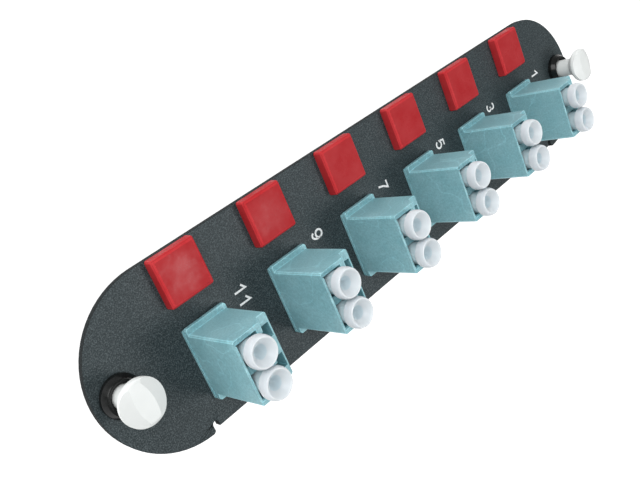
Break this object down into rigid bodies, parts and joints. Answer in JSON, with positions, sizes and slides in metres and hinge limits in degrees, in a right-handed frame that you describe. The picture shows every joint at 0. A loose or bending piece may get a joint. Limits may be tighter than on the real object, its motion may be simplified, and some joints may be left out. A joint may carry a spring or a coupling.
{
  "type": "fibre adapter panel",
  "caption": "Flat panel with half-round ends, carrying a row of plugged fibre-optic adapters, square blanks and a push-pull fastener near each end.",
  "frame": {"origin": "under the middle of the panel, at the height of the rear dust plugs' heads, on which it lies", "axes": "+X along the panel towards port 1, +Y across it towards the blanks, +Z out of its front face"},
  "size_m": [0.1584, 0.0346, 0.0366],
  "materials": {
    "powder_coat": "fine-textured matt black",
    "adapter_teal": "satin moulded",
    "plug_white": "milky soft plastic",
    "blank_red": "satin moulded",
    "grommet_black": "satin",
    "plunger_white": "satin",
    "spring_steel": "bright strip",
    "sleeve_ceramic": "polished"
  },
  "bodies": {
    "panel": {"panel_plate": "powder_coat", "adapter_front_1": "adapter_teal", "adapter_rear_1": "adapter_teal", "retaining_clip_1": "spring_steel", "sleeve_pair_1": "sleeve_ceramic", "port_blank_1": "blank_red", "adapter_front_2": "adapter_teal", "adapter_rear_2": "adapter_teal", "retaining_clip_2": "spring_steel", "sleeve_pair_2": "sleeve_ceramic", "port_blank_2": "blank_red", "adapter_front_3": "adapter_teal", "adapter_rear_3": "adapter_teal", "retaining_clip_3": "spring_steel", "sleeve_pair_3": "sleeve_ceramic", "port_blank_3": "blank_red", "adapter_front_4": "adapter_teal", "adapter_rear_4": "adapter_teal", "retaining_clip_4": "spring_steel", "sleeve_pair_4": "sleeve_ceramic", "port_blank_4": "blank_red", "adapter_front_5": "adapter_teal", "adapter_rear_5": "adapter_teal", "retaining_clip_5": "spring_steel", "sleeve_pair_5": "sleeve_ceramic", "port_blank_5": "blank_red", "adapter_front_6": "adapter_teal", "adapter_rear_6": "adapter_teal", "retaining_clip_6": "spring_steel", "sleeve_pair_6": "sleeve_ceramic", "port_blank_6": "blank_red", "grommet_left": "grommet_black", "grommet_right": "grommet_black"},
    "front_plug_1": {"front_plug_1": "plug_white"},
    "rear_plug_1": {"rear_plug_1": "plug_white"},
    "front_plug_2": {"front_plug_2": "plug_white"},
    "rear_plug_2": {"rear_plug_2": "plug_white"},
    "front_plug_3": {"front_plug_3": "plug_white"},
    "rear_plug_3": {"rear_plug_3": "plug_white"},
    "front_plug_4": {"front_plug_4": "plug_white"},
    "rear_plug_4": {"rear_plug_4": "plug_white"},
    "front_plug_5": {"front_plug_5": "plug_white"},
    "rear_plug_5": {"rear_plug_5": "plug_white"},
    "front_plug_6": {"front_plug_6": "plug_white"},
    "rear_plug_6": {"rear_plug_6": "plug_white"},
    "front_plug_7": {"front_plug_7": "plug_white"},
    "rear_plug_7": {"rear_plug_7": "plug_white"},
    "front_plug_8": {"front_plug_8": "plug_white"},
    "rear_plug_8": {"rear_plug_8": "plug_white"},
    "front_plug_9": {"front_plug_9": "plug_white"},
    "rear_plug_9": {"rear_plug_9": "plug_white"},
    "front_plug_10": {"front_plug_10": "plug_white"},
    "rear_plug_10": {"rear_plug_10": "plug_white"},
    "front_plug_11": {"front_plug_11": "plug_white"},
    "rear_plug_11": {"rear_plug_11": "plug_white"},
    "front_plug_12": {"front_plug_12": "plug_white"},
    "rear_plug_12": {"rear_plug_12": "plug_white"},
    "plunger_left": {"plunger_left": "plunger_white"},
    "plunger_right": {"plunger_right": "plunger_white"}
  },
  "joints": [
    {"name": "front_plug_1_pull", "type": "slide", "parent": "panel", "child": "front_plug_1", "axis": [0, 0, 1], "range_m": [0, 0.012]},
    {"name": "rear_plug_1_pull", "type": "slide", "parent": "panel", "child": "rear_plug_1", "axis": [0, 0, -1], "range_m": [0, 0.012]},
    {"name": "front_plug_2_pull", "type": "slide", "parent": "panel", "child": "front_plug_2", "axis": [0, 0, 1], "range_m": [0, 0.012]},
    {"name": "rear_plug_2_pull", "type": "slide", "parent": "panel", "child": "rear_plug_2", "axis": [0, 0, -1], "range_m": [0, 0.012]},
    {"name": "front_plug_3_pull", "type": "slide", "parent": "panel", "child": "front_plug_3", "axis": [0, 0, 1], "range_m": [0, 0.012]},
    {"name": "rear_plug_3_pull", "type": "slide", "parent": "panel", "child": "rear_plug_3", "axis": [0, 0, -1], "range_m": [0, 0.012]},
    {"name": "front_plug_4_pull", "type": "slide", "parent": "panel", "child": "front_plug_4", "axis": [0, 0, 1], "range_m": [0, 0.012]},
    {"name": "rear_plug_4_pull", "type": "slide", "parent": "panel", "child": "rear_plug_4", "axis": [0, 0, -1], "range_m": [0, 0.012]},
    {"name": "front_plug_5_pull", "type": "slide", "parent": "panel", "child": "front_plug_5", "axis": [0, 0, 1], "range_m": [0, 0.012]},
    {"name": "rear_plug_5_pull", "type": "slide", "parent": "panel", "child": "rear_plug_5", "axis": [0, 0, -1], "range_m": [0, 0.012]},
    {"name": "front_plug_6_pull", "type": "slide", "parent": "panel", "child": "front_plug_6", "axis": [0, 0, 1], "range_m": [0, 0.012]},
    {"name": "rear_plug_6_pull", "type": "slide", "parent": "panel", "child": "rear_plug_6", "axis": [0, 0, -1], "range_m": [0, 0.012]},
    {"name": "front_plug_7_pull", "type": "slide", "parent": "panel", "child": "front_plug_7", "axis": [0, 0, 1], "range_m": [0, 0.012]},
    {"name": "rear_plug_7_pull", "type": "slide", "parent": "panel", "child": "rear_plug_7", "axis": [0, 0, -1], "range_m": [0, 0.012]},
    {"name": "front_plug_8_pull", "type": "slide", "parent": "panel", "child": "front_plug_8", "axis": [0, 0, 1], "range_m": [0, 0.012]},
    {"name": "rear_plug_8_pull", "type": "slide", "parent": "panel", "child": "rear_plug_8", "axis": [0, 0, -1], "range_m": [0, 0.012]},
    {"name": "front_plug_9_pull", "type": "slide", "parent": "panel", "child": "front_plug_9", "axis": [0, 0, 1], "range_m": [0, 0.012]},
    {"name": "rear_plug_9_pull", "type": "slide", "parent": "panel", "child": "rear_plug_9", "axis": [0, 0, -1], "range_m": [0, 0.012]},
    {"name": "front_plug_10_pull", "type": "slide", "parent": "panel", "child": "front_plug_10", "axis": [0, 0, 1], "range_m": [0, 0.012]},
    {"name": "rear_plug_10_pull", "type": "slide", "parent": "panel", "child": "rear_plug_10", "axis": [0, 0, -1], "range_m": [0, 0.012]},
    {"name": "front_plug_11_pull", "type": "slide", "parent": "panel", "child": "front_plug_11", "axis": [0, 0, 1], "range_m": [0, 0.012]},
    {"name": "rear_plug_11_pull", "type": "slide", "parent": "panel", "child": "rear_plug_11", "axis": [0, 0, -1], "range_m": [0, 0.012]},
    {"name": "front_plug_12_pull", "type": "slide", "parent": "panel", "child": "front_plug_12", "axis": [0, 0, 1], "range_m": [0, 0.012]},
    {"name": "rear_plug_12_pull", "type": "slide", "parent": "panel", "child": "rear_plug_12", "axis": [0, 0, -1], "range_m": [0, 0.012]},
    {"name": "plunger_left_push", "type": "slide", "parent": "panel", "child": "plunger_left", "axis": [0, 0, -1], "range_m": [0, 0.0036]},
    {"name": "plunger_right_push", "type": "slide", "parent": "panel", "child": "plunger_right", "axis": [0, 0, -1], "range_m": [0, 0.0036]}
  ]
}
